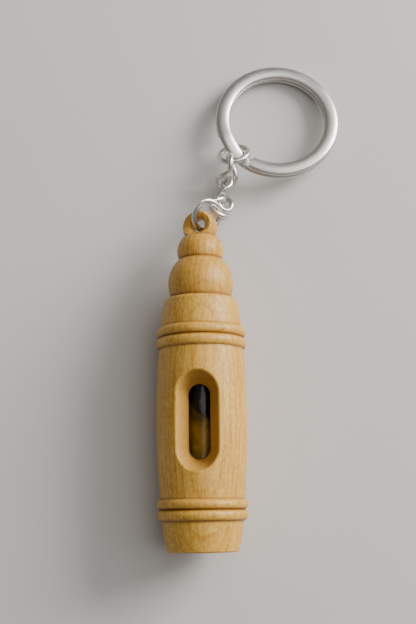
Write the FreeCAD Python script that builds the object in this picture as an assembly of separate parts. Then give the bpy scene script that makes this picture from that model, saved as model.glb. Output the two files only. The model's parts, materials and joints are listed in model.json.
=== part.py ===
import FreeCAD, Part
import math
import os

# Turned-wood oil-vial keychain. Millimetres, +Z up, +Y from the barrel's base to the cap.
# The wooden parts are drawn standing on the base face and then laid down.

V = FreeCAD.Vector

# ---- driving dimensions ----
AXIS_X = -11.65          # barrel axis, sideways from the middle of the whole object
AXIS_Z = 10.35           # barrel axis above the floor: the widest bead's radius
BASE_Y = -58.25          # the barrel's base face

BARREL_H = 56.8          # barrel, base to mouth
BORE_R = 4.15            # drilled for an 8 mm vial
BORE_FLOOR = 10.0
BORE_TOP = 48.5
MOUTH_R = 4.8            # wider mouth that takes the cap's spigot

WINDOW_MID = 28.3        # window centre above the base
WINDOW_W = 4.9           # clear slot
WINDOW_L = 16.7
WINDOW_INNER = 5.0       # the splay starts this far from the axis
WINDOW_OUTER = 11.0
WINDOW_FLARE = 0.55      # widening per millimetre of depth
WINDOW_ROLL = 6.0        # the window faces this far to the left, degrees
WINDOW_RIM = 0.5         # rounding of the window's outer rim
WINDOW_LIP = 0.3         # rounding where the splay meets the slot

VIAL_R = 4.0
VIAL_BOTTOM = 10.02
VIAL_TOP = 46.0
VIAL_WALL = 0.8
OIL_GAP = 0.02
OIL_TOP = 33.8           # where the oil ends along the vial's left wall
BUBBLE_R = 6.2           # roundness of the air bubble's lower end
BUBBLE_SIDE = 3.1        # the bubble lies this far to the right of the axis
BUBBLE_RISE = 0.8        # and this far towards the window

SPIGOT_R = 4.75
SPIGOT_L = 8.05
NECK_R = 3.5             # where the cap's middle ball meets the eye ball
EYE_R = 4.0
EYE_Z = 73.85            # eye ball centre above the base
EYE_HOLE_R = 1.65
EYE_HOLE_UP = 0.43       # hole centre above the ball's centre
EYE_EASING = 1.2         # rounding where the hole meets the flats
EYE_HALF = 2.0           # half the eye's thickness between its two flats
EYE_SCOOP = 3.2          # radius of the hollow that ends each flat below the hole
EYE_ROLL = 23.6          # the eye hole leans this far to the left, degrees

WIRE = 1.3               # chain wire
LINK_L = 9.8
LINK_W = 5.8
LINK_TWIST = 80.0
RING_OD = 8.3            # eye ring
RING_RISE = -1.37        # its bent-open ends sit this far apart
JUMP_OD = 8.2
BUTT = 0.12              # gap where a bent wire closes on itself

SPLIT_OD = 30.0
SPLIT_BAND = 3.3
SPLIT_COIL = 1.46        # thickness of one turn at its crown
SPLIT_CROWN = 2.15       # 2 would make the wire's section an ellipse, more makes it squarer
SPLIT_STEP = 218.0       # direction of the step between the turns, degrees
SPLIT_RAMP = 40.0        # how much of the circle the step takes
JUMP_SEAM = 200.0

# Resting places: x, y, z of the centre, then heading, dip and roll in degrees.
EYE_RING_AT = (-10.06, 18.42, 10.74, 120.2, -41.2, 9.1)
LINK_AT = [
    (-7.06, 21.03, 7.26, 73.1, 59.8, 55.4),
    (-5.49, 25.81, 3.67, 83.7, 10.1, 78.2),
    (-4.86, 30.72, 5.91, 77.4, -50, -117.3),
]
JUMP_RING_AT = (-3.34, 35.21, 5.66, 26.4, 9.7, -41)
SPLIT_RING_AT = (7.41, 44.13, 3.62, 0.0, 2.06, -8.81)


def lay(shape):
    """Turn a part drawn standing up so that its +Z runs along +Y, and put it in place."""
    out = shape.copy()
    out.rotate(V(0, 0, 0), V(1, 0, 0), -90)
    out.translate(V(AXIS_X, BASE_Y, AXIS_Z))
    return out


def outline(points):
    """Closed wire in the XZ plane; (r, z) joins by a line, (r, z, mr, mz) by an arc."""
    edges = []
    last = V(points[0][0], 0, points[0][1])
    for item in points[1:] + points[:1]:
        here = V(item[0], 0, item[1])
        if len(item) == 4:
            edges.append(Part.Arc(last, V(item[2], 0, item[3]), here).toShape())
        elif last.distanceToPoint(here) > 1e-6:
            edges.append(Part.makeLine(last, here))
        last = here
    return Part.Wire(edges)


def turned(points):
    """Solid of revolution about Z from an (r, z) outline."""
    return Part.Face(outline(points)).revolve(V(0, 0, 0), V(0, 0, 1), 360)


def clean(shape):
    """The shape with split faces joined again, as one solid."""
    out = shape.removeSplitter()
    solids = out.Solids
    return solids[0] if len(solids) == 1 else out


# ---- barrel ----
def stadium(half_straight, radius, depth):
    """Upright stadium wire facing -Y at the given distance in front of the axis."""
    top = V(0, -depth, half_straight)
    low = V(0, -depth, -half_straight)
    side = V(radius, 0, 0)
    end = V(0, 0, radius)
    edges = [
        Part.Arc(top + side, top + end, top - side).toShape(),
        Part.makeLine(top - side, low - side),
        Part.Arc(low - side, low - end, low + side).toShape(),
        Part.makeLine(low + side, top + side),
    ]
    return Part.Wire(edges)


def window_edges(body, front, behind):
    """The edges round the window that lie between two depths."""
    found = []
    for edge in body.Edges:
        box = edge.BoundBox
        near = abs(box.Center.z - WINDOW_MID) < WINDOW_L
        if near and box.YMin > front and box.YMax < behind:
            found.append(edge)
    return found


def make_barrel():
    body = turned([
        (0, 0),
        (7.75, 0),
        (8.05, 0.3),
        (9.15, 6.7, 8.68, 3.4),
        (9.45, 9.2, 10.15, 7.95),
        (9.45, 11.5, 10.25, 10.4),
        (9.7, 44.95, 10.2, 28.3),
        (9.6, 47.55, 10.35, 46.25),
        (9.2, 50.1, 10.2, 48.8),
        (8.4, 55.6, 8.92, 53.2),
        (7.5, BARREL_H, 8.1, 56.4),
        (MOUTH_R + 0.3, BARREL_H),
        (MOUTH_R, BARREL_H - 0.3),
        (MOUTH_R, BORE_TOP),
        (BORE_R, BORE_TOP),
        (BORE_R, BORE_FLOOR),
        (0, BORE_FLOOR - 0.9),
    ])
    mid = V(0, 0, WINDOW_MID)
    straight = WINDOW_L / 2 - WINDOW_W / 2
    rise = WINDOW_OUTER - WINDOW_INNER
    narrow = stadium(straight, WINDOW_W / 2, WINDOW_INNER)
    wide = stadium(straight, WINDOW_W / 2 + rise * WINDOW_FLARE, WINDOW_OUTER)
    splay = Part.makeLoft([narrow, wide], True, True)
    slot = Part.Face(stadium(straight, WINDOW_W / 2, 0)).extrude(V(0, -WINDOW_INNER - 0.5, 0))
    for tool in (splay, slot):
        tool.translate(mid)
        tool.rotate(V(0, 0, 0), V(0, 0, 1), -WINDOW_ROLL)
        body = body.cut(tool)
    body = clean(body)
    body = body.makeFillet(WINDOW_RIM, window_edges(body, -WINDOW_OUTER, -WINDOW_INNER - 1.5))
    body = body.makeFillet(WINDOW_LIP, window_edges(body, -WINDOW_INNER - 0.4, -WINDOW_INNER + 0.4))
    return lay(clean(body))


# ---- vial, oil and stopper ----
def make_vial():
    inner = VIAL_R - VIAL_WALL
    floor = VIAL_BOTTOM + 1.0
    return lay(turned([
        (0, VIAL_BOTTOM),
        (VIAL_R - 1.0, VIAL_BOTTOM),
        (VIAL_R, VIAL_BOTTOM + 1.0, VIAL_R - 0.293, VIAL_BOTTOM + 0.293),
        (VIAL_R, VIAL_TOP - 0.4),
        (inner, VIAL_TOP - 0.4, VIAL_R - VIAL_WALL / 2, VIAL_TOP),
        (inner, floor + 0.9),
        (inner - 0.9, floor, inner - 0.264, floor + 0.264),
        (0, floor),
    ]))


def make_oil():
    radius = VIAL_R - VIAL_WALL - OIL_GAP
    floor = VIAL_BOTTOM + 1.0 + OIL_GAP
    column = turned([
        (0, floor),
        (radius - 0.9, floor),
        (radius, floor + 0.9, radius - 0.264, floor + 0.264),
        (radius, OIL_TOP),
        (0, OIL_TOP),
    ])
    bubble = Part.makeSphere(BUBBLE_R, V(BUBBLE_SIDE, -BUBBLE_RISE, OIL_TOP + 0.2))
    return lay(clean(column.cut(bubble)))


def make_stopper():
    plug = VIAL_R - VIAL_WALL - 0.05
    return lay(turned([
        (0, VIAL_TOP - 4.0),
        (plug - 0.5, VIAL_TOP - 4.0),
        (plug, VIAL_TOP - 3.4),
        (plug, VIAL_TOP + 0.02),
        (VIAL_R - 0.1, VIAL_TOP + 0.02),
        (VIAL_R - 0.1, VIAL_TOP + 1.4),
        (VIAL_R - 0.6, VIAL_TOP + 1.9, VIAL_R - 0.25, VIAL_TOP + 1.75),
        (0, VIAL_TOP + 1.9),
    ]))


# ---- cap ----
def make_cap():
    waist = math.sqrt(EYE_R ** 2 - NECK_R ** 2)
    crown = math.radians(20)
    body = turned([
        (0, BARREL_H - SPIGOT_L),
        (SPIGOT_R - 0.4, BARREL_H - SPIGOT_L),
        (SPIGOT_R, BARREL_H - SPIGOT_L + 0.4),
        (SPIGOT_R, BARREL_H + 0.05),
        (6.55, BARREL_H + 0.05),
        (6.85, BARREL_H + 0.35, 6.77, BARREL_H + 0.13),
        (4.97, 66.15, 7.42, 61.6),
        (NECK_R, EYE_Z - waist, 5.35, 68.5),
        (0, EYE_Z + EYE_R, EYE_R * math.cos(crown), EYE_Z + EYE_R * math.sin(crown)),
    ])
    hub = EYE_Z + EYE_HOLE_UP
    easing = EYE_EASING
    past = EYE_R + 2
    reach = EYE_HALF - easing
    lip = easing * (1 - math.sqrt(0.5))
    drill = turned([
        (0, -past),
        (EYE_HOLE_R + easing, -past),
        (EYE_HOLE_R + easing, -EYE_HALF),
        (EYE_HOLE_R, -reach, EYE_HOLE_R + lip, -reach - easing + lip),
        (EYE_HOLE_R, reach),
        (EYE_HOLE_R + easing, EYE_HALF, EYE_HOLE_R + lip, reach + easing - lip),
        (EYE_HOLE_R + easing, past),
        (0, past),
    ])
    drill.rotate(V(0, 0, 0), V(1, 0, 0), 90)
    bend = V(0, -EYE_HALF - EYE_SCOOP * (1 - math.sqrt(0.5)), -EYE_SCOOP * math.sqrt(0.5))
    corners = [
        V(0, -EYE_HALF - EYE_SCOOP, -EYE_SCOOP),
        V(0, -past, -EYE_SCOOP),
        V(0, -past, past),
        V(0, -EYE_HALF, past),
    ]
    edges = [Part.Arc(V(0, -EYE_HALF, 0), bend, corners[0]).toShape()]
    for first, last in zip(corners, corners[1:] + [V(0, -EYE_HALF, 0)]):
        edges.append(Part.makeLine(first, last))
    flat = Part.Face(Part.Wire(edges)).extrude(V(2 * past, 0, 0))
    flat.translate(V(-past, 0, 0))
    back = flat.copy()
    back.rotate(V(0, 0, 0), V(0, 0, 1), 180)
    for tool in (drill, flat, back):
        tool.rotate(V(0, 0, 0), V(0, 0, 1), -EYE_ROLL)
        tool.translate(V(0, 0, hub))
        body = body.cut(tool)
    return lay(clean(body))


# ---- chain and rings ----
def swept(points, radius):
    """Round wire along a smooth open path through the points, with a flat cut at each end."""
    curve = Part.BSplineCurve()
    curve.interpolate(points)
    path = Part.Wire([curve.toShape()])
    start = curve.value(curve.FirstParameter)
    heading = curve.tangent(curve.FirstParameter)[0]
    section = Part.Wire([Part.makeCircle(radius, start, heading)])
    return path.makePipeShell([section], True, False)


def link_path(per_arc=10):
    """Centre line of a twisted link along X, cut open in the middle of one side."""
    bend = (LINK_W - WIRE) / 2
    half = (LINK_L - LINK_W) / 2
    turn = math.radians(LINK_TWIST) / 2
    cut = BUTT / (4 * half)

    def side(sign, first, last, begin, end):
        spots = []
        for step in range(per_arc + 1):
            share = begin + (end - begin) * step / per_arc
            ease = share * share * (3 - 2 * share)
            roll = turn * (1 - 2 * ease) * (1 if first > 0 else -1)
            along = first + (last - first) * share
            spots.append(V(along, sign * bend * math.cos(roll), sign * bend * math.sin(roll)))
        return spots

    def end(sign, roll):
        spots = []
        for step in range(1, per_arc):
            angle = math.pi * (step / per_arc - 0.5)
            across = sign * bend * math.sin(angle)
            spots.append(V(sign * (half + bend * math.cos(angle)),
                           across * math.cos(roll), across * math.sin(roll)))
        return spots

    path = side(1, half, -half, 0.5 + cut, 1)
    path += end(-1, -turn)
    path += side(-1, -half, half, 0, 1)
    path += end(1, turn)
    path += side(1, half, -half, 0, 0.5 - cut)
    return path


def ring_path(radius, rise, opening, steps=48):
    """Centre line of an open round ring in the XY plane; its ends sit apart by the rise."""
    spots = []
    span = 2 * math.pi - opening
    for step in range(steps + 1):
        angle = opening / 2 + span * step / steps
        lift = rise * (angle / (2 * math.pi) - 0.5)
        spots.append(V(radius * math.cos(angle), radius * math.sin(angle), lift))
    return spots


def put(shape, pose):
    """Turn a part by heading, dip and roll, then move it to its place."""
    x, y, z, heading, dip, roll = pose
    out = shape.copy()
    out.Placement = FreeCAD.Placement(V(x, y, z), FreeCAD.Rotation(heading, dip, roll))
    return out


def make_link(pose):
    return put(swept(link_path(), WIRE / 2), pose)


def make_eye_ring():
    path = ring_path((RING_OD - WIRE) / 2, RING_RISE, 0.22)
    return put(swept(path, WIRE / 2), EYE_RING_AT)


def make_jump_ring():
    radius = (JUMP_OD - WIRE) / 2
    section = Part.Face(Part.Wire([Part.makeCircle(WIRE / 2, V(radius, 0, 0), V(0, 1, 0))]))
    opening = math.degrees(BUTT / radius)
    ring = section.revolve(V(0, 0, 0), V(0, 0, 1), 360 - opening)
    ring.rotate(V(0, 0, 0), V(0, 0, 1), JUMP_SEAM)
    return put(ring, JUMP_RING_AT)


def band(angle, lift):
    """Cross-section of the split ring's wire at an angle round it, domed on every side."""
    middle = (SPLIT_OD - SPLIT_BAND) / 2
    count = 24
    spots = []
    for step in range(count):
        turn = 2 * math.pi * step / count
        out = math.copysign(abs(math.cos(turn)) ** (2 / SPLIT_CROWN), math.cos(turn))
        up = math.copysign(abs(math.sin(turn)) ** (2 / SPLIT_CROWN), math.sin(turn))
        spots.append(V(middle + out * SPLIT_BAND / 2, 0, up * SPLIT_COIL / 2))
    curve = Part.BSplineCurve()
    curve.interpolate(spots, PeriodicFlag=True)
    wire = Part.Wire([curve.toShape()])
    wire.translate(V(0, 0, lift))
    wire.rotate(V(0, 0, 0), V(0, 0, 1), angle)
    return wire


def make_split_ring():
    """Two flat turns joined by one step, with the step where the jump ring hangs."""
    level = SPLIT_COIL / 2 + 0.015
    first = SPLIT_STEP + SPLIT_RAMP / 2 + 2
    turn = 360 - SPLIT_RAMP - 2
    upper = Part.Face(band(first, level)).revolve(V(0, 0, 0), V(0, 0, 1), turn)
    leave = first + turn
    lower = Part.Face(band(leave + SPLIT_RAMP, -level)).revolve(V(0, 0, 0), V(0, 0, 1), turn)
    slices = []
    count = 16
    for step in range(count + 1):
        share = step / count
        ease = share * share * (3 - 2 * share)
        slices.append(band(leave + SPLIT_RAMP * share, level * (1 - 2 * ease)))
    ramp = Part.makeLoft(slices, True, False)
    ring = clean(upper.fuse(ramp).fuse(lower))
    return put(ring, SPLIT_RING_AT)


# ---- write every sub-part ----
PARTS = {
    "barrel": make_barrel,
    "vial": make_vial,
    "oil": make_oil,
    "stopper": make_stopper,
    "cap": make_cap,
    "eye_ring": make_eye_ring,
    "link_1": lambda: make_link(LINK_AT[0]),
    "link_2": lambda: make_link(LINK_AT[1]),
    "link_3": lambda: make_link(LINK_AT[2]),
    "jump_ring": make_jump_ring,
    "split_ring": make_split_ring,
}

os.makedirs("parts", exist_ok=True)
for name, maker in PARTS.items():
    shape = maker()
    shape.exportStep("parts/" + name + ".step")
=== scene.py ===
"""Looks of a turned-wood oil-vial keychain: finishes, small surface pieces, studio and camera.

The solid model is loaded as a fixed frame. Its nodes keep their meshes and get detailed finishes;
pieces that the solid model has no place for are built here. Lengths are in metres unless a name
ends in _mm, and the barrel lies along +Y with its window facing up.
"""
from __future__ import annotations

import json
import logging
import math
from dataclasses import dataclass, field
from enum import Enum
from typing import Any

import bpy
from mathutils import Euler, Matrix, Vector

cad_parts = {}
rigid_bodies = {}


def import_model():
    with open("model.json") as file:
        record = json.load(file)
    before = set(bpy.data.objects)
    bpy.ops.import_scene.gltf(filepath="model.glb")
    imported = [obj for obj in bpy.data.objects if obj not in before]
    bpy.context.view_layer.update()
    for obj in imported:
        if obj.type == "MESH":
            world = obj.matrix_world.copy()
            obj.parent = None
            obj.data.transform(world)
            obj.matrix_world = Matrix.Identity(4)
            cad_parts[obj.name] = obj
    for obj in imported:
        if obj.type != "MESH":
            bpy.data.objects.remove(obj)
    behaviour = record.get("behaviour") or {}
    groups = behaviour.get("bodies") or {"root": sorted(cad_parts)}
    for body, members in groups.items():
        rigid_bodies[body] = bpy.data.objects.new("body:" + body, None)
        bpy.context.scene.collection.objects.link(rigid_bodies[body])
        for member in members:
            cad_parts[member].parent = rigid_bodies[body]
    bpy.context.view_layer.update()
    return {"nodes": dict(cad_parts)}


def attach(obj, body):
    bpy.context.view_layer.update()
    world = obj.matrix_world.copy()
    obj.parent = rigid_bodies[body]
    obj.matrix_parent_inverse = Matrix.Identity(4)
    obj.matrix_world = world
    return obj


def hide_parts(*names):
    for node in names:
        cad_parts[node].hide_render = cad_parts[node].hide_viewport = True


log = logging.getLogger("keychain")

MM = 0.001
Colour = tuple[float, float, float]


class Finish(Enum):
    """The finishes that the keychain's pieces are made in."""

    BARREL_WOOD = "barrel wood"
    CAP_WOOD = "cap wood"
    NICKEL = "satin nickel"
    BANDED_NICKEL = "drawn nickel band"
    GLASS = "vial glass"
    OIL = "rose oil"
    PLASTIC = "stopper plastic"


# ---------------------------------------------------------------- node helpers


class Tree:
    """A node tree with short ways to add and join nodes."""

    def __init__(self, tree: bpy.types.NodeTree) -> None:
        """Take the tree that the nodes are added to.

        Args:
            tree: the shader tree or node group to fill.
        """
        self.tree = tree

    def node(self, kind: str, **settings: Any) -> bpy.types.Node:
        """Add one node.

        Args:
            kind: the node's Blender type name.
            **settings: properties to set on the node.

        Returns:
            The new node.
        """
        made = self.tree.nodes.new(kind)
        for name, value in settings.items():
            setattr(made, name, value)
        return made

    def feed(self, socket: bpy.types.NodeSocket, value: Any) -> None:
        """Join an output to an input, or set the input's own value.

        Args:
            socket: the input to feed.
            value: an output socket, a number, or a colour or vector as a tuple.
        """
        if isinstance(value, bpy.types.NodeSocket):
            self.tree.links.new(value, socket)
        elif isinstance(value, tuple) and socket.type == "RGBA" and len(value) == 3:
            socket.default_value = (*value, 1.0)
        else:
            socket.default_value = value

    def math(self, operation: str, *values: Any, clamp: bool = False) -> bpy.types.NodeSocket:
        """Add a Math node.

        Args:
            operation: the operation's Blender name.
            *values: its inputs in order.
            clamp: whether the result is kept between 0 and 1.

        Returns:
            The result's socket.
        """
        made = self.node("ShaderNodeMath", operation=operation, use_clamp=clamp)
        for socket, value in zip(made.inputs, values):
            self.feed(socket, value)
        return made.outputs[0]

    def vector(self, operation: str, *values: Any) -> bpy.types.NodeSocket:
        """Add a Vector Math node.

        Args:
            operation: the operation's Blender name.
            *values: its inputs in order.

        Returns:
            The result's socket, a number for LENGTH and DISTANCE.
        """
        made = self.node("ShaderNodeVectorMath", operation=operation)
        for socket, value in zip(made.inputs, values):
            self.feed(socket, value)
        return made.outputs["Value" if operation in {"LENGTH", "DISTANCE"} else "Vector"]

    def noise(self, at: Any, scale: float, detail: float = 3.0,
              rough: float = 0.5) -> bpy.types.NodeSocket:
        """Add a Noise Texture.

        Args:
            at: the coordinates to read.
            scale: how many bumps per unit of the coordinates.
            detail: the number of finer layers.
            rough: how strong the finer layers are.

        Returns:
            The socket with the noise's value.
        """
        made = self.node("ShaderNodeTexNoise", noise_dimensions="3D")
        self.feed(made.inputs["Vector"], at)
        made.inputs["Scale"].default_value = scale
        made.inputs["Detail"].default_value = detail
        made.inputs["Roughness"].default_value = rough
        return made.outputs[0]

    def ramp(self, value: Any, low: Any, high: Any, to_low: float = 0.0,
             to_high: float = 1.0) -> bpy.types.NodeSocket:
        """Add a Map Range node that eases from one value to another.

        Args:
            value: the number to map.
            low: where the change starts.
            high: where the change ends.
            to_low: the result at the start.
            to_high: the result at the end.

        Returns:
            The result's socket.
        """
        made = self.node("ShaderNodeMapRange", interpolation_type="SMOOTHSTEP")
        for name, given in (("Value", value), ("From Min", low), ("From Max", high),
                            ("To Min", to_low), ("To Max", to_high)):
            self.feed(made.inputs[name], given)
        return made.outputs[0]

    def blend(self, share: Any, first: Any, second: Any, mode: str = "MIX") -> bpy.types.NodeSocket:
        """Mix two colours.

        Args:
            share: how much of the second colour is used.
            first: the first colour.
            second: the second colour.
            mode: the way they mix.

        Returns:
            The mixed colour's socket.
        """
        made = self.node("ShaderNodeMix", data_type="RGBA", blend_type=mode)
        made.clamp_factor = True
        self.feed(made.inputs[0], share)
        self.feed(made.inputs[6], first)
        self.feed(made.inputs[7], second)
        return made.outputs[2]

    def group(self, tree: bpy.types.NodeTree, **values: Any) -> bpy.types.Node:
        """Place a node group and set its named inputs.

        Args:
            tree: the group to place.
            **values: a value or socket for each input, with _ for a space in its name.

        Returns:
            The group's node.
        """
        made = self.node("ShaderNodeGroup", node_tree=tree)
        for name, value in values.items():
            self.feed(made.inputs[name.replace("_", " ")], value)
        return made


def new_group(name: str, inputs: dict[str, Any], outputs: dict[str, str]) -> tuple[Tree, Any, Any]:
    """Start a shader node group with named sockets.

    Args:
        name: the group's name.
        inputs: each input's name and its usual value; a 3-tuple makes a colour, a Vector a vector.
        outputs: each output's name and whether it is a "Color" or a "Float".

    Returns:
        The group's tree, its input sockets by name and its output sockets by name.
    """
    made = bpy.data.node_groups.new(name, "ShaderNodeTree")
    for label, value in inputs.items():
        kind = {tuple: "NodeSocketColor", Vector: "NodeSocketVector"}.get(type(value), "NodeSocketFloat")
        socket = made.interface.new_socket(label, in_out="INPUT", socket_type=kind)
        if kind == "NodeSocketColor":
            socket.default_value = (*value, 1.0)
        elif kind == "NodeSocketFloat":
            socket.default_value = value
    for label, kind in outputs.items():
        made.interface.new_socket(label, in_out="OUTPUT", socket_type="NodeSocket" + kind)
    tree = Tree(made)
    return tree, tree.node("NodeGroupInput").outputs, tree.node("NodeGroupOutput").inputs


# ---------------------------------------------------------------- shared effects


@dataclass
class Effects:
    """The node groups that more than one finish uses, each built once."""

    grain: bpy.types.NodeTree = field(init=False)
    groove: bpy.types.NodeTree = field(init=False)
    scuffs: bpy.types.NodeTree = field(init=False)
    smudges: bpy.types.NodeTree = field(init=False)

    def __post_init__(self) -> None:
        """Build all four groups."""
        self.grain = self._grain()
        self.groove = self._groove()
        self.scuffs = self._scuffs()
        self.smudges = self._smudges()

    @staticmethod
    def _grain() -> bpy.types.NodeTree:
        """Build the grain of a fine pale wood: growth rings, long streaks and short flecks.

        Returns:
            The node group. Its place input is in millimetres, with the grain along Y.
        """
        tree, given, out = new_group(
            "Turned wood grain",
            {"Place": Vector(), "Pale": (0.6, 0.4, 0.17), "Tan": (0.45, 0.25, 0.07),
             "Fleck Colour": (0.3, 0.14, 0.03), "Pith Side": -1.0, "Pith Depth": -22.0,
             "Ring Gap": 1.1, "Ring Depth": 0.6, "Streak Depth": 0.30, "Fleck Depth": 0.5},
            {"Colour": "Color", "Roughness": "Float", "Height": "Float"})
        place = given["Place"]
        parts = tree.node("ShaderNodeSeparateXYZ")
        tree.feed(parts.inputs[0], place)
        sway = tree.noise(tree.vector("MULTIPLY", place, (0.10, 0.028, 0.10)), 1.0, 2.0)
        wander = tree.math("MULTIPLY", tree.math("SUBTRACT", sway, 0.5), 2.2)
        side = tree.math("SUBTRACT", parts.outputs[0], given["Pith Side"])
        side = tree.math("ADD", side, tree.math("MULTIPLY", parts.outputs[1], 0.02))
        depth = tree.math("SUBTRACT", parts.outputs[2], given["Pith Depth"])
        depth = tree.math("SUBTRACT", depth, tree.math("MULTIPLY", parts.outputs[1], 0.012))
        reach = tree.math("SQRT", tree.math("ADD", tree.math("MULTIPLY", side, side),
                                            tree.math("MULTIPLY", depth, depth)))
        count = tree.math("DIVIDE", tree.math("ADD", reach, wander), given["Ring Gap"])
        share = tree.math("FRACT", count)
        late = tree.math("POWER", share, 3.0)
        ring = tree.math("MULTIPLY", late, tree.ramp(share, 0.9, 1.0, 1.0, 0.0))

        streak = tree.noise(tree.vector("MULTIPLY", place, (2.6, 0.10, 2.6)), 1.0, 5.0, 0.62)
        streak = tree.ramp(streak, 0.34, 0.66)
        broad = tree.noise(tree.vector("MULTIPLY", place, (0.42, 0.05, 0.42)), 1.0, 2.0)
        broad = tree.ramp(broad, 0.35, 0.65)
        fleck = tree.noise(tree.vector("MULTIPLY", place, (3.4, 0.7, 3.4)), 1.0, 2.0)
        fleck = tree.ramp(fleck, 0.57, 0.72)
        cloud = tree.noise(tree.vector("MULTIPLY", place, (1.5, 0.9, 1.5)), 1.0, 4.0, 0.65)

        dark = tree.math("MULTIPLY", ring, given["Ring Depth"])
        dark = tree.math("ADD", dark, tree.math("MULTIPLY", streak, given["Streak Depth"]))
        dark = tree.math("ADD", dark, tree.math("MULTIPLY", broad, 0.22))
        mottle = tree.math("MULTIPLY", tree.math("SUBTRACT", cloud, 0.5), 2.0)
        dark = tree.math("ADD", dark, mottle, clamp=True)
        wood = tree.blend(dark, given["Pale"], given["Tan"])
        mark = tree.math("MULTIPLY", fleck, given["Fleck Depth"])
        tree.feed(out["Colour"], tree.blend(mark, wood, given["Fleck Colour"]))
        rough = tree.math("ADD", 0.40, tree.math("MULTIPLY", streak, 0.10))
        tree.feed(out["Roughness"], tree.math("ADD", rough, tree.math("MULTIPLY", fleck, 0.12)))
        height = tree.math("ADD", tree.math("MULTIPLY", streak, -0.35),
                           tree.math("MULTIPLY", fleck, -0.8))
        tree.feed(out["Height"], tree.math("SUBTRACT", height, tree.math("MULTIPLY", ring, 0.25)))
        return tree.tree

    @staticmethod
    def _groove() -> bpy.types.NodeTree:
        """Build the soft dark line in a turned groove: partly a build-up of polishing wax, partly
        painted shade.

        Returns:
            The node group. Along and Centre are in millimetres, and Mask adds to what it is given.
        """
        tree, given, out = new_group(
            "Polish and painted shade in a groove",
            {"Along": 0.0, "Centre": 0.0, "Half Width": 0.5, "Depth": 1.0, "Before": 0.0},
            {"Mask": "Float"})
        gap = tree.math("ABSOLUTE", tree.math("SUBTRACT", given["Along"], given["Centre"]))
        mask = tree.math("MULTIPLY", tree.ramp(gap, 0.0, given["Half Width"], 1.0, 0.0), given["Depth"])
        tree.feed(out["Mask"], tree.math("MAXIMUM", mask, given["Before"]))
        return tree.tree

    @staticmethod
    def _scuffs() -> bpy.types.NodeTree:
        """Build fine hairline scuffs and small dings.

        Returns:
            The node group. Its place input is in millimetres.
        """
        tree, given, out = new_group(
            "Handling scuffs",
            {"Place": Vector(), "Hairlines": 0.5, "Dings": 0.5},
            {"Wear": "Float", "Height": "Float"})
        first = tree.noise(tree.vector("MULTIPLY", given["Place"], (9.0, 0.8, 3.0)), 1.0, 2.0)
        second = tree.noise(tree.vector("MULTIPLY", given["Place"], (1.0, 8.0, 4.0)), 1.0, 2.0)
        line = tree.math("MAXIMUM", tree.ramp(first, 0.60, 0.70), tree.ramp(second, 0.62, 0.72))
        line = tree.math("MULTIPLY", line, given["Hairlines"])
        ding = tree.ramp(tree.noise(given["Place"], 1.4, 3.0), 0.56, 0.72)
        ding = tree.math("MULTIPLY", ding, given["Dings"])
        tree.feed(out["Wear"], tree.math("MAXIMUM", line, ding))
        tree.feed(out["Height"], tree.math("MULTIPLY", tree.math("ADD", line, ding), -1.0))
        return tree.tree

    @staticmethod
    def _smudges() -> bpy.types.NodeTree:
        """Build the cloudy film that handling leaves on a smooth surface.

        Returns:
            The node group. Its place input is in millimetres.
        """
        tree, given, out = new_group(
            "Handling smudges", {"Place": Vector(), "Size": 2.5, "Depth": 1.0}, {"Mask": "Float"})
        scale = tree.math("DIVIDE", 1.0, given["Size"])
        made = tree.node("ShaderNodeTexNoise")
        tree.feed(made.inputs["Vector"], given["Place"])
        tree.feed(made.inputs["Scale"], scale)
        made.inputs["Detail"].default_value = 4.0
        mask = tree.ramp(made.outputs[0], 0.42, 0.66)
        tree.feed(out["Mask"], tree.math("MULTIPLY", mask, given["Depth"]))
        return tree.tree


# ---------------------------------------------------------------- finishes


def start_material(name: str, shown: Colour) -> tuple[bpy.types.Material, Tree, bpy.types.Node, Any]:
    """Start a material with one Principled shader and places in millimetres.

    Args:
        name: the material's name.
        shown: the plain colour for viewports.

    Returns:
        The material, its tree, its Principled node, and the socket with the place in millimetres.
    """
    made = bpy.data.materials.new(name)
    made.use_nodes = True
    made.diffuse_color = (*shown, 1.0)
    made.node_tree.nodes.clear()
    tree = Tree(made.node_tree)
    shader = tree.node("ShaderNodeBsdfPrincipled")
    tree.feed(tree.node("ShaderNodeOutputMaterial").inputs["Surface"], shader.outputs[0])
    coordinates = tree.node("ShaderNodeTexCoord")
    place = tree.vector("SCALE", coordinates.outputs["Object"])
    place.node.inputs["Scale"].default_value = 1.0 / MM
    return made, tree, shader, place


def dent(tree: Tree, shader: bpy.types.Node, height: Any, depth: float, strength: float = 1.0) -> None:
    """Give a shader a bumpy surface.

    Args:
        tree: the material's tree.
        shader: the Principled node.
        height: the socket with the surface's height, about one unit high.
        depth: what one unit stands for, in metres.
        strength: how much of the bump shows.
    """
    bump = tree.node("ShaderNodeBump")
    bump.inputs["Distance"].default_value = depth
    bump.inputs["Strength"].default_value = strength
    tree.feed(bump.inputs["Height"], height)
    tree.feed(shader.inputs["Normal"], bump.outputs[0])


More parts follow.
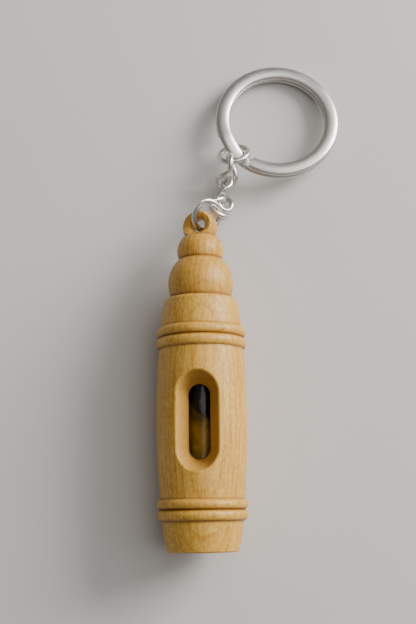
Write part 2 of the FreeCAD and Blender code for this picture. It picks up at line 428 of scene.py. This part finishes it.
@dataclass(frozen=True)
class TurnedWood:
    """A satin-polished pale hardwood, turned between centres along Y."""

    pale: Colour = (0.67, 0.39, 0.069)
    tan: Colour = (0.44, 0.197, 0.014)
    fleck: Colour = (0.27, 0.104, 0.007)
    # Dark tone that grooves and tool marks are blended towards: partly polishing-wax build-up, partly
    # painted shade.
    polish_and_shade: Colour = (0.20, 0.072, 0.007)
    axis_mm: tuple[float, float] = (-11.65, 10.35)
    base_mm: float = -58.25
    pith_mm: tuple[float, float] = (-1.0, -22.0)
    ring_gap_mm: float = 0.75
    grooves_mm: tuple[tuple[float, float, float], ...] = ()
    tool_lines: float = 0.7
    specular: float = 0.36
    wax: float = 0.07
    wax_rough: float = 0.30
    relief_mm: float = 0.028
    window: "WindowCut | None" = None

    def material(self, effects: Effects, name: str) -> bpy.types.Material:
        """Build the wood.

        Args:
            effects: the shared node groups.
            name: the material's name.

        Returns:
            The finished material.
        """
        made, tree, shader, place = start_material(name, self.pale)
        home = (self.axis_mm[0], self.base_mm, self.axis_mm[1])
        place = tree.vector("SUBTRACT", place, home)
        grain = tree.group(effects.grain, Place=place, Pale=self.pale, Tan=self.tan,
                           Fleck_Colour=self.fleck, Pith_Side=self.pith_mm[0],
                           Pith_Depth=self.pith_mm[1], Ring_Gap=self.ring_gap_mm)
        parts = tree.node("ShaderNodeSeparateXYZ")
        tree.feed(parts.inputs[0], place)
        along = parts.outputs[1]
        # Painted shade and polishing-wax build-up darken each groove between the beads.
        mask: Any = 0.0
        for centre, half, depth in self.grooves_mm:
            mask = tree.group(effects.groove, Along=along, Centre=centre, Half_Width=half,
                              Depth=depth, Before=mask).outputs["Mask"]
        colour, rough, height = (grain.outputs[label] for label in ("Colour", "Roughness", "Height"))
        colour = tree.blend(mask, colour, self.polish_and_shade)
        lathe = tree.noise(tree.vector("MULTIPLY", place, (0.02, 3.2, 0.02)), 1.0, 4.0, 0.6)
        height = tree.math("ADD", height, tree.math("MULTIPLY", lathe, self.tool_lines))
        if self.window:
            colour, rough, height = self.window.cut(tree, place, colour, rough, height, self.polish_and_shade)
        tree.feed(shader.inputs["Base Color"], colour)
        tree.feed(shader.inputs["Roughness"], rough)
        shader.inputs["Specular IOR Level"].default_value = self.specular
        shader.inputs["Coat Weight"].default_value = self.wax
        shader.inputs["Coat Roughness"].default_value = self.wax_rough
        dent(tree, shader, height, self.relief_mm * MM, 0.8)
        return made


@dataclass(frozen=True)
class WindowCut:
    """The routed window and the drilled hole, as they show on the barrel's wood; the hole's wall gets a
    painted near-black shade.

    A pair of reaches is the distance from the barrel's axis where a cut begins and ends to fade.
    """

    middle_mm: float = 28.3
    half_straight_mm: float = 5.9
    half_length_mm: tuple[float, float] = (14.0, 15.0)
    turn_degrees: float = 6.0
    splay_reach_mm: tuple[float, float] = (9.35, 9.85)
    bore_reach_mm: tuple[float, float] = (4.45, 4.75)
    bore_floor_mm: tuple[float, float] = (4.0, 6.0)
    ends_mm: tuple[float, float] = (0.2, 1.8)
    tool_waves: float = 13.0
    tool_wobble: float = 9.0
    raw: Colour = (0.40, 0.20, 0.040)
    # Near-black painted shade for the wall of the drilled hole inside the barrel.
    painted_bore_shade: Colour = (0.030, 0.016, 0.006)

    def cut(self, tree: Tree, place: Any, colour: Any, rough: Any, height: Any,
            polish_and_shade: Colour) -> tuple[Any, Any, Any]:
        """Dress the cut faces.

        Args:
            tree: the material's tree.
            place: the place measured from the barrel's base, in millimetres.
            colour: the outer wood's colour.
            rough: the outer wood's roughness.
            height: the outer wood's height.
            polish_and_shade: the dark tone of polishing wax and painted shade that gathers in corners.

        Returns:
            The colour, roughness and height with the window dressed and the drilled hole's wall painted
            dark as shade.
        """
        parts = tree.node("ShaderNodeSeparateXYZ")
        tree.feed(parts.inputs[0], place)
        x, y, z = parts.outputs
        reach = tree.math("SQRT", tree.math("ADD", tree.math("MULTIPLY", x, x),
                                            tree.math("MULTIPLY", z, z)))
        crown = tree.math("ABSOLUTE", tree.math("SUBTRACT", y, self.middle_mm))
        inside = tree.ramp(reach, *self.splay_reach_mm, 1.0, 0.0)
        inside = tree.math("MULTIPLY", inside, tree.ramp(crown, *self.half_length_mm, 1.0, 0.0))
        turn = math.radians(self.turn_degrees)
        across = tree.math("ADD", tree.math("MULTIPLY", x, math.cos(turn)),
                           tree.math("MULTIPLY", z, math.sin(turn)))
        past = tree.math("MAXIMUM", tree.math("SUBTRACT", crown, self.half_straight_mm), 0.0)
        far = tree.math("SQRT", tree.math("ADD", tree.math("MULTIPLY", across, across),
                                          tree.math("MULTIPLY", past, past)))
        wobble = tree.math("MULTIPLY", tree.noise(place, 0.7, 3.0), self.tool_wobble)
        waves = tree.math("SINE", tree.math("ADD", tree.math("MULTIPLY", far, self.tool_waves), wobble))
        ends = tree.ramp(past, *self.ends_mm)
        marks = tree.math("MULTIPLY", waves, tree.math("MULTIPLY", inside, tree.math("ADD", 0.25, ends)))
        colour = tree.blend(tree.math("MULTIPLY", inside, 0.55), colour, self.raw)
        colour = tree.blend(tree.math("MULTIPLY", tree.ramp(marks, 0.2, 1.1), 0.14), colour, polish_and_shade)
        # Painted shade: the wall of the drilled hole is blended to a near-black tone rather than left to
        # the lights.
        bore_shade_share = tree.math("MULTIPLY", tree.ramp(reach, *self.bore_reach_mm, 1.0, 0.0),
                            tree.ramp(y, *self.bore_floor_mm))
        colour = tree.blend(bore_shade_share, colour, self.painted_bore_shade)
        rough = tree.math("ADD", rough, tree.math("MULTIPLY", inside, 0.16))
        height = tree.math("ADD", height, tree.math("MULTIPLY", marks, 0.4))
        return colour, rough, height


@dataclass(frozen=True)
class Nickel:
    """Plated steel wire with a satin shine, a little dull where it has been handled."""

    bright: Colour = (0.69, 0.67, 0.635)
    dull: Colour = (0.46, 0.43, 0.385)
    rough: float = 0.30
    turned_about_mm: tuple[float, float, float] | None = None

    def material(self, effects: Effects, name: str) -> bpy.types.Material:
        """Build the metal.

        Args:
            effects: the shared node groups.
            name: the material's name.

        Returns:
            The finished material.
        """
        made, tree, shader, place = start_material(name, self.bright)
        film = tree.group(effects.smudges, Place=place, Size=2.2, Depth=0.35).outputs["Mask"]
        worn = tree.group(effects.scuffs, Place=place, Hairlines=0.35, Dings=0.2)
        height: Any = worn.outputs["Height"]
        lines: Any = 0.0
        if self.turned_about_mm:
            parts = tree.node("ShaderNodeSeparateXYZ")
            tree.feed(parts.inputs[0], tree.vector("SUBTRACT", place, self.turned_about_mm))
            flat = tree.node("ShaderNodeCombineXYZ")
            tree.feed(flat.inputs[0], parts.outputs[0])
            tree.feed(flat.inputs[1], parts.outputs[1])
            radius = tree.vector("LENGTH", flat.outputs[0])
            angle = tree.math("ARCTAN2", parts.outputs[1], parts.outputs[0])
            drawn = tree.node("ShaderNodeCombineXYZ")
            tree.feed(drawn.inputs[0], tree.math("MULTIPLY", radius, 5.5))
            tree.feed(drawn.inputs[1], tree.math("MULTIPLY", angle, 1.6))
            tree.feed(drawn.inputs[2], tree.math("MULTIPLY", parts.outputs[2], 5.5))
            lines = tree.ramp(tree.noise(drawn.outputs[0], 1.0, 4.0, 0.6), 0.35, 0.7)
            height = tree.math("ADD", height, tree.math("MULTIPLY", lines, 0.8))
        tone = tree.math("ADD", tree.math("MULTIPLY", film, 0.45),
                         tree.math("MULTIPLY", worn.outputs["Wear"], 0.3))
        tone = tree.math("ADD", tone, tree.math("MULTIPLY", lines, 0.22), clamp=True)
        tree.feed(shader.inputs["Base Color"], tree.blend(tone, self.bright, self.dull))
        rough = tree.math("ADD", self.rough, tree.math("MULTIPLY", film, 0.14))
        rough = tree.math("ADD", rough, tree.math("MULTIPLY", lines, 0.08))
        tree.feed(shader.inputs["Roughness"], rough)
        shader.inputs["Metallic"].default_value = 1.0
        dent(tree, shader, height, 0.006 * MM, 0.7)
        return made


@dataclass(frozen=True)
class VialGlass:
    """Thin clear tube glass with a faint brown cast and a trace of finger film.

    Its index is lower than real glass has, so that the lights show only faintly in it.
    """

    tint: Colour = (0.93, 0.90, 0.86)
    index: float = 1.27
    rough: float = 0.06
    film: float = 0.08

    def material(self, effects: Effects, name: str) -> bpy.types.Material:
        """Build the glass.

        Args:
            effects: the shared node groups.
            name: the material's name.

        Returns:
            The finished material.
        """
        made, tree, shader, place = start_material(name, self.tint)
        film = tree.group(effects.smudges, Place=place, Size=1.8, Depth=1.0).outputs["Mask"]
        shader.inputs["Base Color"].default_value = (*self.tint, 1.0)
        tree.feed(shader.inputs["Roughness"],
                  tree.math("ADD", self.rough, tree.math("MULTIPLY", film, self.film)))
        shader.inputs["IOR"].default_value = self.index
        shader.inputs["Transmission Weight"].default_value = 1.0
        draw = tree.noise(tree.vector("MULTIPLY", place, (0.6, 0.12, 0.6)), 1.0, 1.0)
        dent(tree, shader, draw, 0.03 * MM, 0.5)
        return made


@dataclass(frozen=True)
class RoseOil:
    """Olive-gold oil with murky clouds, darker under its surface and at the vial's foot.

    Its index is lower than real oil has, so that the lights show only faintly in it.
    """

    gold: Colour = (0.74, 0.40, 0.007)
    murk: Colour = (0.19, 0.115, 0.005)
    clear_below_mm: float = -33.0
    murk_above_mm: float = -28.0
    dark_below_mm: float = -38.0
    dark_fade_mm: float = 5.0
    cloud_mm: float = 6.0
    clarity: float = 0.35
    index: float = 1.22

    def material(self, effects: Effects, name: str) -> bpy.types.Material:
        """Build the oil.

        Args:
            effects: the shared node groups.
            name: the material's name.

        Returns:
            The finished material.
        """
        made, tree, shader, place = start_material(name, self.gold)
        parts = tree.node("ShaderNodeSeparateXYZ")
        tree.feed(parts.inputs[0], place)
        cloud = tree.noise(tree.vector("MULTIPLY", place, (0.45, 0.3, 0.45)), 1.0, 3.0)
        level = tree.math("ADD", parts.outputs[1], tree.math("MULTIPLY", cloud, self.cloud_mm))
        middle = self.cloud_mm / 2
        share = tree.ramp(level, self.clear_below_mm + middle, self.murk_above_mm + middle)
        swirl = tree.noise(tree.vector("MULTIPLY", place, (0.7, 0.5, 0.7)), 1.0, 4.0)
        swirl = tree.ramp(swirl, 0.40, 0.62)
        low = tree.ramp(parts.outputs[1], self.dark_below_mm,
                        self.dark_below_mm + self.dark_fade_mm, 0.6, 0.0)
        share = tree.math("MAXIMUM", share, tree.math("MAXIMUM", low, tree.math("MULTIPLY", swirl, 0.6)))
        tree.feed(shader.inputs["Base Color"], tree.blend(share, self.gold, self.murk))
        film = tree.group(effects.smudges, Place=place, Size=3.0, Depth=0.04).outputs["Mask"]
        tree.feed(shader.inputs["Roughness"], tree.math("ADD", 0.02, film))
        shader.inputs["IOR"].default_value = self.index
        shader.inputs["Transmission Weight"].default_value = self.clarity
        return made


@dataclass(frozen=True)
class StopperPlastic:
    """Milky moulded plastic."""

    milk: Colour = (0.78, 0.76, 0.70)
    shade: Colour = (0.64, 0.61, 0.54)
    rough: float = 0.38

    def material(self, effects: Effects, name: str) -> bpy.types.Material:
        """Build the plastic.

        Args:
            effects: the shared node groups.
            name: the material's name.

        Returns:
            The finished material.
        """
        made, tree, shader, place = start_material(name, self.milk)
        film = tree.group(effects.smudges, Place=place, Size=1.2, Depth=0.8).outputs["Mask"]
        worn = tree.group(effects.scuffs, Place=place, Hairlines=0.3, Dings=0.4)
        tree.feed(shader.inputs["Base Color"], tree.blend(film, self.milk, self.shade))
        rough = tree.math("ADD", self.rough, tree.math("MULTIPLY", worn.outputs["Wear"], 0.2))
        tree.feed(shader.inputs["Roughness"], rough)
        shader.inputs["Subsurface Weight"].default_value = 0.25
        shader.inputs["Subsurface Scale"].default_value = 0.5 * MM
        dent(tree, shader, worn.outputs["Height"], 0.01 * MM, 0.6)
        return made


@dataclass
class Palette:
    """Every finish of the keychain as a ready material."""

    effects: Effects = field(default_factory=Effects)
    made: dict[Finish, bpy.types.Material] = field(default_factory=dict)

    def __post_init__(self) -> None:
        """Build the materials."""
        # The barrel's and the cap's grooves are darkened with painted shade and polishing wax.
        barrel = TurnedWood(
            grooves_mm=((6.7, 0.6, 0.70), (9.2, 0.6, 0.95), (11.5, 0.5, 0.50),
                        (44.95, 0.55, 0.60), (47.55, 0.6, 0.90), (50.1, 0.55, 0.50), (56.8, 0.4, 0.45)),
            window=WindowCut())
        cap = TurnedWood(
            pale=(0.60, 0.34, 0.058), tan=(0.39, 0.17, 0.012),
            pith_mm=(-26.0, -5.0), ring_gap_mm=1.2,
            grooves_mm=((56.9, 1.0, 0.85), (66.2, 0.6, 0.75), (71.7, 0.55, 0.75)))
        self.made = {
            Finish.BARREL_WOOD: barrel.material(self.effects, "Barrel wood"),
            Finish.CAP_WOOD: cap.material(self.effects, "Cap wood"),
            Finish.NICKEL: Nickel().material(self.effects, "Satin nickel wire"),
            Finish.BANDED_NICKEL: Nickel(turned_about_mm=(7.41, 44.13, 3.62)).material(
                self.effects, "Drawn nickel band"),
            Finish.GLASS: VialGlass().material(self.effects, "Vial glass"),
            Finish.OIL: RoseOil().material(self.effects, "Rose oil"),
            Finish.PLASTIC: StopperPlastic().material(self.effects, "Stopper plastic"),
        }

    def __getitem__(self, finish: Finish) -> bpy.types.Material:
        """Return the material of a finish."""
        return self.made[finish]


# ---------------------------------------------------------------- the keychain


@dataclass
class Container:
    """The turned barrel, its push-fit cap, the vial and its stopper."""

    palette: Palette
    nodes: dict[str, bpy.types.Object]

    def dress(self) -> None:
        """Give each solid its finish."""
        for name, finish in (("barrel", Finish.BARREL_WOOD), ("cap", Finish.CAP_WOOD),
                             ("vial", Finish.GLASS), ("stopper", Finish.PLASTIC)):
            paint(self.nodes[name], self.palette[finish])


@dataclass
class OilFill:
    """The oil as one body that wets the glass, with a slanted surface round an air bubble."""

    palette: Palette
    axis_mm: tuple[float, float] = (-11.65, 10.35)
    base_mm: float = -58.25
    radius_mm: float = 3.25
    floor_mm: float = 10.97
    corner_mm: float = 0.9
    top_mm: float = 33.8
    bubble_mm: float = 6.2
    bubble_side_mm: float = 3.1
    bubble_rise_mm: float = 0.8
    bubble_up_mm: float = 0.2
    climb_mm: float = 0.8
    climb_fade_mm: float = 0.28
    around: int = 72
    rings: int = 26
    crowding: float = 0.75
    wall_rows: int = 24
    corner_rows: int = 8

    def level(self, side: float, rise: float) -> float:
        """Return the height of the oil's surface.

        Args:
            side: how far to the right of the vial's axis.
            rise: how far above the vial's axis.

        Returns:
            The height above the barrel's base, in millimetres.
        """
        across = (side - self.bubble_side_mm) ** 2 + (rise - self.bubble_rise_mm) ** 2
        sphere = self.top_mm + self.bubble_up_mm - math.sqrt(max(self.bubble_mm ** 2 - across, 0.0))
        wall = self.radius_mm - math.hypot(side, rise)
        return min(sphere + self.climb_mm * math.exp(-wall / self.climb_fade_mm), self.top_mm)

    def ring_at(self, reach: float, height: float | None = None) -> list[tuple[float, float, float]]:
        """Return one ring of places round the vial's axis.

        Args:
            reach: how far the ring is from the axis, in millimetres.
            height: its height above the barrel's base, or nothing to lie on the oil's surface.

        Returns:
            The places as side, height and rise, in millimetres.
        """
        turns = [2 * math.pi * step / self.around for step in range(self.around)]
        sides = [(reach * math.cos(turn), reach * math.sin(turn)) for turn in turns]
        return [(side, self.level(side, rise) if height is None else height, rise)
                for side, rise in sides]

    def rows(self) -> list[list[tuple[float, float, float]]]:
        """Work out the rings of the oil's skin, from the middle of its surface down to its foot.

        Returns:
            One list of places for each ring, in millimetres.
        """
        surface = [self.ring_at(self.radius_mm * (ring / self.rings) ** self.crowding)
                   for ring in range(1, self.rings + 1)]
        foot = self.floor_mm + self.corner_mm
        wall = []
        for row in range(1, self.wall_rows + 1):
            share = row / self.wall_rows
            wall.append([(x, height + (foot - height) * share, z) for x, height, z in surface[-1]])
        corner = []
        for row in range(1, self.corner_rows + 1):
            bend = math.pi / 2 * row / self.corner_rows
            corner.append(self.ring_at(self.radius_mm - self.corner_mm * (1 - math.cos(bend)),
                                       foot - self.corner_mm * math.sin(bend)))
        return surface + wall + corner

    def skin(self, rows: int) -> list[tuple[int, ...]]:
        """Return the faces that join the rings, with the first and last points as its poles.

        Args:
            rows: the number of rings.

        Returns:
            The faces, as places in the list of points.
        """
        around = self.around
        after = [(step + 1) % around for step in range(around)]
        faces: list[tuple[int, ...]] = [(0, 1 + after[step], 1 + step) for step in range(around)]
        for row in range(rows - 1):
            first = 1 + row * around
            faces += [(first + step, first + after[step], first + around + after[step],
                       first + around + step) for step in range(around)]
        last = 1 + (rows - 1) * around
        faces += [(last + step, last + after[step], last + around) for step in range(around)]
        return faces

    def build(self) -> bpy.types.Object:
        """Build the oil's mesh and dress it.

        Returns:
            The finished piece.
        """
        rows = self.rows()
        spots = [(0.0, self.level(0.0, 0.0), 0.0), *(spot for row in rows for spot in row),
                 (0.0, self.floor_mm, 0.0)]
        home = Vector((self.axis_mm[0], self.base_mm, self.axis_mm[1]))
        mesh = bpy.data.meshes.new("oil_fill")
        mesh.from_pydata([(home + Vector(spot)) * MM for spot in spots], [], self.skin(len(rows)))
        mesh.polygons.foreach_set("use_smooth", [True] * len(mesh.polygons))
        mesh.materials.append(self.palette[Finish.OIL])
        piece = bpy.data.objects.new("oil_fill", mesh)
        bpy.context.collection.objects.link(piece)
        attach(piece, "vial")
        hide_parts("oil")
        log.info("%s built with %d faces", piece.name, len(mesh.polygons))
        return piece


@dataclass
class Chain:
    """The eye ring, three twisted links, the jump ring and the split ring."""

    palette: Palette
    nodes: dict[str, bpy.types.Object]
    wires: tuple[str, ...] = ("eye_ring", "link_1", "link_2", "link_3", "jump_ring")

    def dress(self) -> None:
        """Give each wire its finish."""
        for name in self.wires:
            paint(self.nodes[name], self.palette[Finish.NICKEL])
        paint(self.nodes["split_ring"], self.palette[Finish.BANDED_NICKEL])


def paint(node: bpy.types.Object, material: bpy.types.Material) -> None:
    """Put a material in every slot of a solid's object.

    Args:
        node: the object to finish.
        material: the material to put on it.
    """
    for slot in node.material_slots:
        slot.material = material
    log.info("%s finished in %s", node.name, material.name)


# ---------------------------------------------------------------- studio


@dataclass(frozen=True)
class Lamp:
    """A square soft light that looks at the keychain."""

    name: str
    at: tuple[float, float, float]
    size: float
    power: float
    tone: Colour

    def hang(self) -> None:
        """Hang the light."""
        data = bpy.data.lights.new(self.name, "AREA")
        data.size = self.size
        data.energy = self.power
        data.color = self.tone
        lamp = bpy.data.objects.new(self.name, data)
        lamp.location = self.at
        lamp.rotation_euler = (-Vector(self.at)).to_track_quat("-Z", "Y").to_euler()
        bpy.context.collection.objects.link(lamp)


@dataclass
class Studio:
    """A plain pale floor, soft lights and the camera."""

    lamps: tuple[Lamp, ...] = (
        Lamp("window light", (0.62, 0.34, 0.34), 0.42, 12.0, (1.0, 0.98, 0.95)),
        Lamp("overhead panel", (0.50, 0.22, 0.90), 1.2, 7.0, (1.0, 0.99, 0.98)),
    )
    floor_size: float = 3.0
    floor_tone: Colour = (0.60, 0.585, 0.565)
    sky_tone: Colour = (1.0, 0.97, 0.93)
    sky_strength: float = 0.21
    camera_at_mm: tuple[float, float, float] = (-10.47, -48.75, 245.65)
    camera_turn: tuple[float, float, float] = (10.67, 0.0, -0.6)
    camera_lens: float = 60.0
    camera_sensor: float = 36.0

    def floor(self) -> None:
        """Lay the floor, with a faint mottle."""
        bpy.ops.mesh.primitive_plane_add(size=self.floor_size, location=(0, 0, 0))
        plane = bpy.context.object
        plane.name = "studio_floor"
        made, tree, shader, place = start_material("Studio floor", self.floor_tone)
        cloud = tree.noise(place, 0.02, 3.0)
        darker = tuple(value * 0.96 for value in self.floor_tone)
        tree.feed(shader.inputs["Base Color"], tree.blend(cloud, self.floor_tone, darker))
        shader.inputs["Roughness"].default_value = 0.8
        plane.data.materials.append(made)

    def lights(self) -> None:
        """Hang the lights and set the sky."""
        for lamp in self.lamps:
            lamp.hang()
        world = bpy.data.worlds.new("Studio sky")
        world.use_nodes = True
        sky = world.node_tree.nodes["Background"]
        sky.inputs["Color"].default_value = (*self.sky_tone, 1.0)
        sky.inputs["Strength"].default_value = self.sky_strength
        bpy.context.scene.world = world

    def camera(self) -> None:
        """Set up the camera above the keychain."""
        data = bpy.data.cameras.new("camera")
        data.lens = self.camera_lens
        data.sensor_width = self.camera_sensor
        data.clip_start = 0.005
        camera = bpy.data.objects.new("camera", data)
        camera.location = Vector(self.camera_at_mm) * MM
        camera.rotation_euler = Euler(tuple(math.radians(value) for value in self.camera_turn))
        bpy.context.collection.objects.link(camera)
        bpy.context.scene.camera = camera

    def build(self) -> None:
        """Set up the whole studio."""
        self.floor()
        self.lights()
        self.camera()


def main() -> None:
    """Load the frame, finish every piece and set up the studio."""
    logging.basicConfig(level=logging.INFO, format="%(name)s: %(message)s")
    for leftover in list(bpy.data.objects):
        bpy.data.objects.remove(leftover)
    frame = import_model()
    palette = Palette()
    nodes = frame["nodes"]
    Container(palette, nodes).dress()
    OilFill(palette).build()
    Chain(palette, nodes).dress()
    Studio().build()


if __name__ == "__main__":
    main()
